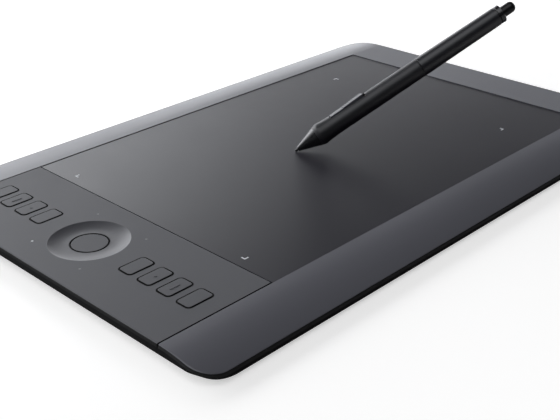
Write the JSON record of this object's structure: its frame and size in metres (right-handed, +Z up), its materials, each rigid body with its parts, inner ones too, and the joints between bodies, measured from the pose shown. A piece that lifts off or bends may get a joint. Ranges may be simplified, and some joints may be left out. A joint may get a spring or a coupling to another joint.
{
  "type": "graphics tablet",
  "caption": "Flat drawing tablet with a wide drawing surface, a side panel of press keys round a dished touch ring, and a slanted cordless pen.",
  "frame": {"origin": "centre of the tablet's footprint, on the plane of its rubber feet's undersides", "axes": "+X along the tablet's long side, from the key panel towards the blank strip; +Y to the edge away from the user; +Z up, out of the drawing surface"},
  "size_m": [0.3803, 0.251, 0.0897],
  "materials": {
    "case_plastic": "fine satin, injection moulded",
    "base_plastic": "fine moulded texture",
    "panel_plastic": "satin soft-touch coat",
    "sheet_plastic": "very fine paper-like texture",
    "key_plastic": "satin soft-touch coat",
    "button_plastic": "half gloss",
    "pen_gloss": "polished",
    "pen_satin": "satin",
    "pen_rubber": "matt silicone rubber",
    "nib_plastic": "plain moulded acetal",
    "eraser_plastic": "satin",
    "foot_rubber": "matt",
    "light_pipe": "clear moulded acrylic, frosted face",
    "board_green": "solder-masked glass epoxy",
    "chip_black": "moulded epoxy",
    "shield_foil": "rolled sheet",
    "film_clear": "polyester film",
    "cell_wrap": "aluminium laminate pouch",
    "module_plastic": "moulded shell",
    "switch_steel": "stamped dome on a black base",
    "screw_steel": "black zinc plated",
    "socket_steel": "nickel plated sheet",
    "socket_plastic": "glass-filled nylon",
    "ribbon_film": "polyimide ribbon",
    "lamp_resin": "moulded lamp package",
    "coil_copper": "enamelled wire",
    "ferrite": "sintered",
    "frame_plastic": "glass-filled nylon"
  },
  "bodies": {
    "tablet": {"battery": "cell_wrap", "board_chips": "chip_black", "board_screws": "screw_steel", "bottom_case": "base_plastic", "case_screws": "screw_steel", "control_panel": "panel_plastic", "corner_lamps": "lamp_resin", "corner_light_guides": "light_pipe", "digitiser_board": "board_green", "drawing_surface": "sheet_plastic", "key_switches": "switch_steel", "main_board": "board_green", "power_switch": "switch_steel", "radio_module": "module_plastic", "ribbon_cable": "ribbon_film", "ribbon_sockets": "socket_plastic", "ring_sensor": "board_green", "rubber_feet": "foot_rubber", "shield_plate": "shield_foil", "status_lamps": "lamp_resin", "status_light_pipes": "light_pipe", "top_case": "case_plastic", "touch_film": "film_clear", "usb_shell": "socket_steel", "usb_tongue": "socket_plastic"},
    "express_key_1": {"express_key_1": "key_plastic"},
    "express_key_2": {"express_key_2": "key_plastic"},
    "express_key_3": {"express_key_3": "key_plastic"},
    "express_key_4": {"express_key_4": "key_plastic"},
    "express_key_5": {"express_key_5": "key_plastic"},
    "express_key_6": {"express_key_6": "key_plastic"},
    "express_key_7": {"express_key_7": "key_plastic"},
    "express_key_8": {"express_key_8": "key_plastic"},
    "ring_button": {"ring_button": "button_plastic"},
    "power_button": {"power_button": "button_plastic"},
    "battery_cover": {"battery_cover": "base_plastic"},
    "module_cover": {"module_cover": "base_plastic"},
    "pen": {"pen_barrel": "pen_satin", "pen_board": "board_green", "pen_coil": "coil_copper", "pen_eraser_sensor": "module_plastic", "pen_ferrite": "ferrite", "pen_frame": "frame_plastic", "pen_grip": "pen_rubber", "pen_nose_cone": "pen_gloss", "pen_pressure_sensor": "module_plastic", "pen_side_switches": "switch_steel", "pen_tail_collar": "pen_gloss"},
    "pen_nib": {"pen_nib": "nib_plastic"},
    "pen_eraser": {"pen_eraser": "eraser_plastic"},
    "pen_side_rocker": {"pen_side_rocker": "pen_gloss"}
  },
  "joints": [
    {"name": "express_key_1_press", "type": "slide", "parent": "tablet", "child": "express_key_1", "axis": [0, 0, -1], "range_m": [0, 0.0004], "stiffness_N_per_m": 600, "springref_m": -0.0005},
    {"name": "express_key_2_press", "type": "slide", "parent": "tablet", "child": "express_key_2", "axis": [0, 0, -1], "range_m": [0, 0.0004], "stiffness_N_per_m": 600, "springref_m": -0.0005},
    {"name": "express_key_3_press", "type": "slide", "parent": "tablet", "child": "express_key_3", "axis": [0, 0, -1], "range_m": [0, 0.0004], "stiffness_N_per_m": 600, "springref_m": -0.0005},
    {"name": "express_key_4_press", "type": "slide", "parent": "tablet", "child": "express_key_4", "axis": [0, 0, -1], "range_m": [0, 0.0004], "stiffness_N_per_m": 600, "springref_m": -0.0005},
    {"name": "express_key_5_press", "type": "slide", "parent": "tablet", "child": "express_key_5", "axis": [0, 0, -1], "range_m": [0, 0.0004], "stiffness_N_per_m": 600, "springref_m": -0.0005},
    {"name": "express_key_6_press", "type": "slide", "parent": "tablet", "child": "express_key_6", "axis": [0, 0, -1], "range_m": [0, 0.0004], "stiffness_N_per_m": 600, "springref_m": -0.0005},
    {"name": "express_key_7_press", "type": "slide", "parent": "tablet", "child": "express_key_7", "axis": [0, 0, -1], "range_m": [0, 0.0004], "stiffness_N_per_m": 600, "springref_m": -0.0005},
    {"name": "express_key_8_press", "type": "slide", "parent": "tablet", "child": "express_key_8", "axis": [0, 0, -1], "range_m": [0, 0.0004], "stiffness_N_per_m": 600, "springref_m": -0.0005},
    {"name": "ring_button_press", "type": "slide", "parent": "tablet", "child": "ring_button", "axis": [0, 0, -1], "range_m": [0, 0.0004], "stiffness_N_per_m": 600, "springref_m": -0.0005},
    {"name": "power_button_press", "type": "slide", "parent": "tablet", "child": "power_button", "axis": [1, 0, 0], "range_m": [0, 0.0004], "stiffness_N_per_m": 600, "springref_m": -0.0005},
    {"name": "battery_cover_slide", "type": "slide", "parent": "tablet", "child": "battery_cover", "axis": [0, 1, 0], "range_m": [0, 0.05]},
    {"name": "module_cover_slide", "type": "slide", "parent": "tablet", "child": "module_cover", "axis": [0, 1, 0], "range_m": [0, 0.05]},
    {"name": "pen_lift", "type": "slide", "parent": "tablet", "child": "pen", "axis": [0, 0, 1], "range_m": [0, 0.06]},
    {"name": "nib_press", "type": "slide", "parent": "pen", "child": "pen_nib", "axis": [0.7589, -0.4295, 0.4895], "range_m": [0, 0.0004], "stiffness_N_per_m": 800, "springref_m": -0.0004},
    {"name": "eraser_press", "type": "slide", "parent": "pen", "child": "pen_eraser", "axis": [-0.7589, 0.4295, -0.4895], "range_m": [0, 0.0008], "stiffness_N_per_m": 600, "springref_m": -0.0005},
    {"name": "side_rocker_tilt", "type": "hinge", "parent": "pen", "child": "pen_side_rocker", "pos_m": [0.02213, -0.01277, 0.03327], "axis": [-0.5704, -0.8011, 0.1813], "range_deg": [-2.5, 2.5], "stiffness_Nm_per_rad": 0.18}
  ]
}
